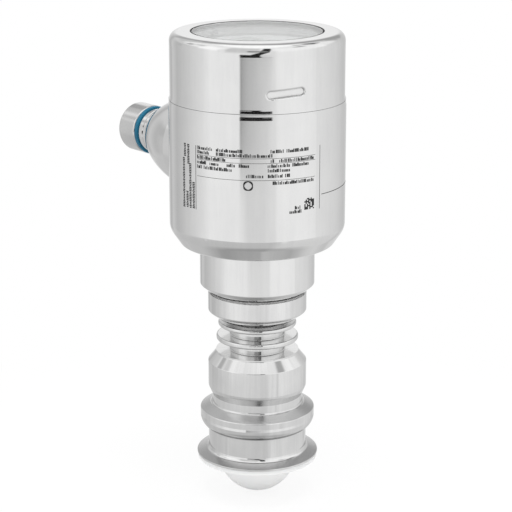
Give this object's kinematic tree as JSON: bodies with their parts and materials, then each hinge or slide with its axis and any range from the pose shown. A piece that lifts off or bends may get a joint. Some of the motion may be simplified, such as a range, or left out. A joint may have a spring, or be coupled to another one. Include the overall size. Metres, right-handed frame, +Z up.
{
  "type": "radar level transmitter",
  "caption": "Stainless steel radar level transmitter with a swivel housing, windowed screw cover, plugged cable entry, finned neck, clamp ferrule and white domed lens.",
  "frame": {"origin": "centre of the sealing face, the flat ring round the lens that meets the gasket of the mating ferrule", "axes": "+Z runs up the transmitter to the sight glass; the cable entry points along -X"},
  "size_m": [0.1483, 0.0904, 0.2473],
  "materials": {
    "steel_polished": "bright drawn and polished stainless steel, with soft vertical reflections",
    "steel_satin": "fine turned stainless steel",
    "steel_turned": "plain turned stainless steel",
    "steel_plug": "bright turned stainless steel",
    "spring_steel": "rolled spring steel",
    "zinc_steel": "zinc plated steel",
    "tinplate": "bright pressed tinplate",
    "brass_nickel": "nickel plated brass",
    "ptfe_white": "white waxy fluoropolymer",
    "plastic_black": "black glass filled plastic, fine grain",
    "plastic_white": "white moulded plastic",
    "terminal_grey": "grey moulded plastic",
    "display_grey": "light grey moulded plastic",
    "screen_grey": "unlit liquid crystal screen",
    "switch_blue": "blue moulded switch body",
    "key_red": "red moulded key",
    "board_green": "green solder resist",
    "cable_grey": "grey cable sheath",
    "rubber_black": "black elastomer",
    "seal_blue": "blue food grade elastomer",
    "glass_clear": "clear toughened glass",
    "feedthrough_glass": "sealing glass"
  },
  "bodies": {
    "process_unit": {"antenna_lens": "ptfe_white", "process_adapter": "steel_satin", "horn_antenna": "steel_turned", "horn_seal": "rubber_black", "waveguide_tube": "steel_turned", "sensor_neck": "steel_satin", "glass_feedthrough": "feedthrough_glass", "module_holder": "plastic_black", "radar_board": "board_green", "radar_shield": "tinplate", "neck_cap": "plastic_black", "sensor_cable": "cable_grey", "swivel_washer": "rubber_black", "swivel_seal_lower": "rubber_black", "swivel_seal_upper": "rubber_black", "stop_washer": "steel_turned", "retaining_ring": "spring_steel"},
    "housing": {"housing_body": "steel_polished", "stop_pin": "steel_turned", "cable_connector": "plastic_white", "insert_cup": "plastic_black", "insert_screws": "zinc_steel", "main_board": "board_green", "insert_lid": "plastic_black", "terminal_block": "terminal_grey", "terminal_screws": "brass_nickel", "switch_body": "switch_blue", "display_housing": "display_grey", "display_screen": "screen_grey"},
    "reset_key": {"reset_key": "key_red"},
    "alarm_slider": {"alarm_slider": "plastic_white"},
    "lock_slider": {"lock_slider": "plastic_white"},
    "cover_seal": {"cover_seal": "rubber_black"},
    "cover": {"cover_shell": "steel_polished", "sight_glass": "glass_clear", "glass_gasket": "rubber_black", "glass_retainer": "steel_turned"},
    "plug_seal": {"plug_seal": "seal_blue"},
    "plug": {"plug_body": "steel_plug"}
  },
  "joints": [
    {"name": "housing_swivel", "type": "hinge", "parent": "process_unit", "child": "housing", "pos_m": [0, 0, 0.11], "axis": [0, 0, 1], "range_deg": [-175, 175]},
    {"name": "cover_lift", "type": "slide", "parent": "housing", "child": "cover_seal", "axis": [0, 0, 1], "range_m": [0, 0.00902]},
    {"name": "cover_turn", "type": "hinge", "parent": "cover_seal", "child": "cover", "pos_m": [0, 0, 0.2], "axis": [0, 0, 1], "range_deg": [0, 1620]},
    {"name": "plug_slide", "type": "slide", "parent": "housing", "child": "plug_seal", "axis": [-1, 0, 0], "range_m": [0, 0.00977]},
    {"name": "plug_turn", "type": "hinge", "parent": "plug_seal", "child": "plug", "pos_m": [-0.09, 0, 0.1629], "axis": [-1, 0, 0], "range_deg": [0, 2340]},
    {"name": "key_press", "type": "slide", "parent": "housing", "child": "reset_key", "axis": [0, 0, -1], "range_m": [0, 0.0005], "stiffness_N_per_m": 400, "springref_m": -0.0005},
    {"name": "alarm_slide", "type": "slide", "parent": "housing", "child": "alarm_slider", "axis": [0, 1, 0], "range_m": [0, 0.002]},
    {"name": "lock_slide", "type": "slide", "parent": "housing", "child": "lock_slider", "axis": [0, 1, 0], "range_m": [0, 0.002]}
  ],
  "couplings": [
    {"joint": "cover_lift", "follows": "cover_turn", "m_per_rad": 0.00031831},
    {"joint": "plug_slide", "follows": "plug_turn", "m_per_rad": 0.00023873}
  ]
}
